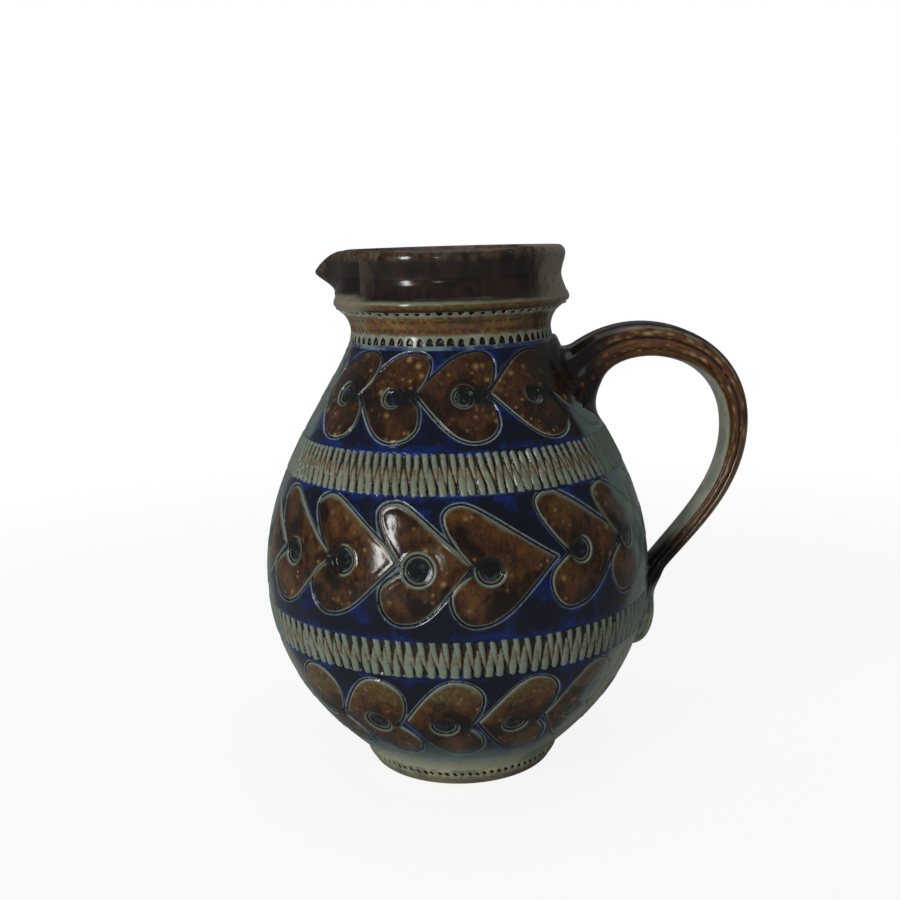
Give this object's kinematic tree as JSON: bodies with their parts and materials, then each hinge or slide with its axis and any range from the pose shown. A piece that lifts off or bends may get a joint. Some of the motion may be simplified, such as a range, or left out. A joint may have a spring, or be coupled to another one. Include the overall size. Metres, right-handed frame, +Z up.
{
  "type": "pottery jug",
  "caption": "Round-bellied salt-glazed stoneware jug with a ridged collar, a pulled pouring lip, a strap handle and carved heart bands.",
  "frame": {"origin": "centre of the flat base the jug stands on", "axes": "+Z up along the axis of the pot, +X towards the handle, the pouring lip towards -X, +Y completes the right-handed frame"},
  "size_m": [0.2057, 0.1632, 0.2195],
  "materials": {
    "ash_glaze": "gloss",
    "cobalt_glaze": "gloss",
    "amber_glaze": "gloss",
    "iron_glaze": "gloss",
    "handle_glaze": "gloss"
  },
  "bodies": {
    "root": {"foot_band": "ash_glaze", "belly": "cobalt_glaze", "neck": "amber_glaze", "rim_collar": "iron_glaze", "pouring_lip": "iron_glaze", "handle_root": "handle_glaze", "handle_strap": "handle_glaze", "handle_tail_pad": "ash_glaze"}
  },
  "joints": []
}
